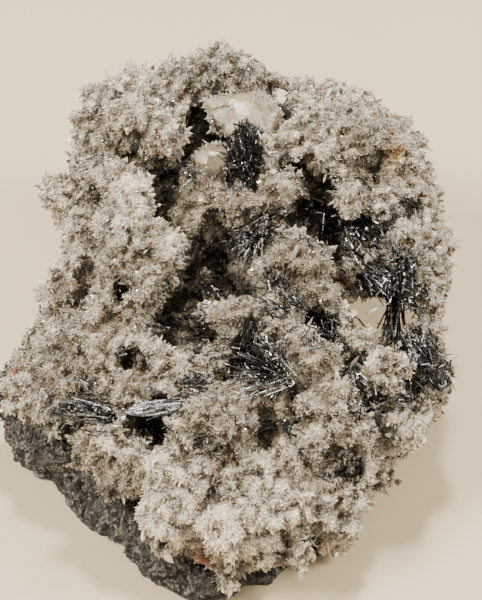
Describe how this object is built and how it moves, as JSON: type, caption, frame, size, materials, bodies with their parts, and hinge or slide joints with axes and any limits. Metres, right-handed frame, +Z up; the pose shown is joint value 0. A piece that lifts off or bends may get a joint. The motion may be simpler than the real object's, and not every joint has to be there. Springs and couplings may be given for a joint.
{
  "type": "stibnite specimen",
  "caption": "Hand specimen of bladed stibnite sprays and pale calcite on a lumpy crust of fine quartz crystals over grey host rock, cut off flat underneath to rest on.",
  "frame": {"origin": "on the flat underside, below the middle of the specimen's display face", "axes": "+Z up as it rests, -Y towards the viewer that the leaning crystal face looks at, +X to the viewer's right"},
  "size_m": [0.0758, 0.0964, 0.0511],
  "materials": {
    "host_rock": "rough",
    "quartz": "glassy fine crystals",
    "calcite": "waxy smooth",
    "stibnite": "metallic, striated"
  },
  "bodies": {
    "root": {"host_rock": "host_rock", "quartz_crust": "quartz", "calcite_upper": "calcite", "calcite_lower": "calcite", "stibnite_by_calcite": "stibnite", "stibnite_pit_wall": "stibnite", "stibnite_centre": "stibnite", "stibnite_bright_bundle": "stibnite", "stibnite_west_bundle": "stibnite", "stibnite_mid_spray": "stibnite", "stibnite_low_pit": "stibnite", "stibnite_ribbed_bundle": "stibnite", "stibnite_arm_upper": "stibnite", "stibnite_arm_lower": "stibnite", "stibnite_needle_field": "stibnite", "stibnite_lower_east": "stibnite", "stibnite_short_blades": "stibnite"}
  },
  "joints": []
}
